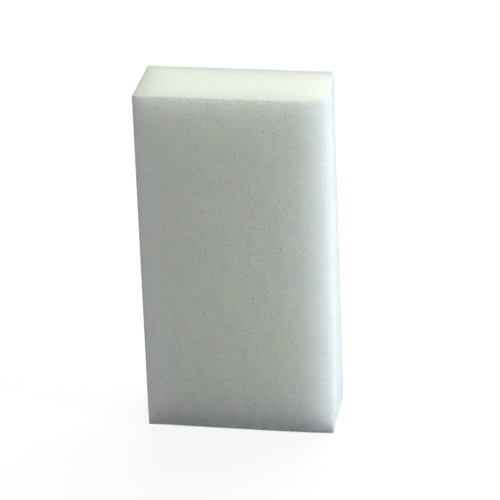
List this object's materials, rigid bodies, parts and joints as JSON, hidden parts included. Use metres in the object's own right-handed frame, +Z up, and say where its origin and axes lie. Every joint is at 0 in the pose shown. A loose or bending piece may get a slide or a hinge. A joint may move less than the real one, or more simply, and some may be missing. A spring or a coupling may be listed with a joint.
{
  "type": "nail buffer block",
  "caption": "Rectangular white foam nail buffer block with fine abrasive film bonded to its long faces and bare cut-foam ends, held in the fingers to smooth and buff nails.",
  "frame": {"origin": "centre of the lower cut end, on the surface that the block stands on", "axes": "+Z up along the block's length, +X to the right and +Y to the back, with a broad face to the front at -Y"},
  "size_m": [0.05, 0.021, 0.095],
  "materials": {
    "foam": "matte white closed-cell foam with a fine cut surface",
    "glue": "clear pressure-sensitive adhesive film",
    "film": "thin translucent white polyester film",
    "grit": "fine white abrasive grains set in clear resin, matte"
  },
  "bodies": {
    "root": {"foam_core": "foam", "front_glue_film": "glue", "front_backing_film": "film", "front_grit_coat": "grit", "back_glue_film": "glue", "back_backing_film": "film", "back_grit_coat": "grit", "left_glue_film": "glue", "left_backing_film": "film", "left_grit_coat": "grit", "right_glue_film": "glue", "right_backing_film": "film", "right_grit_coat": "grit"}
  },
  "joints": []
}
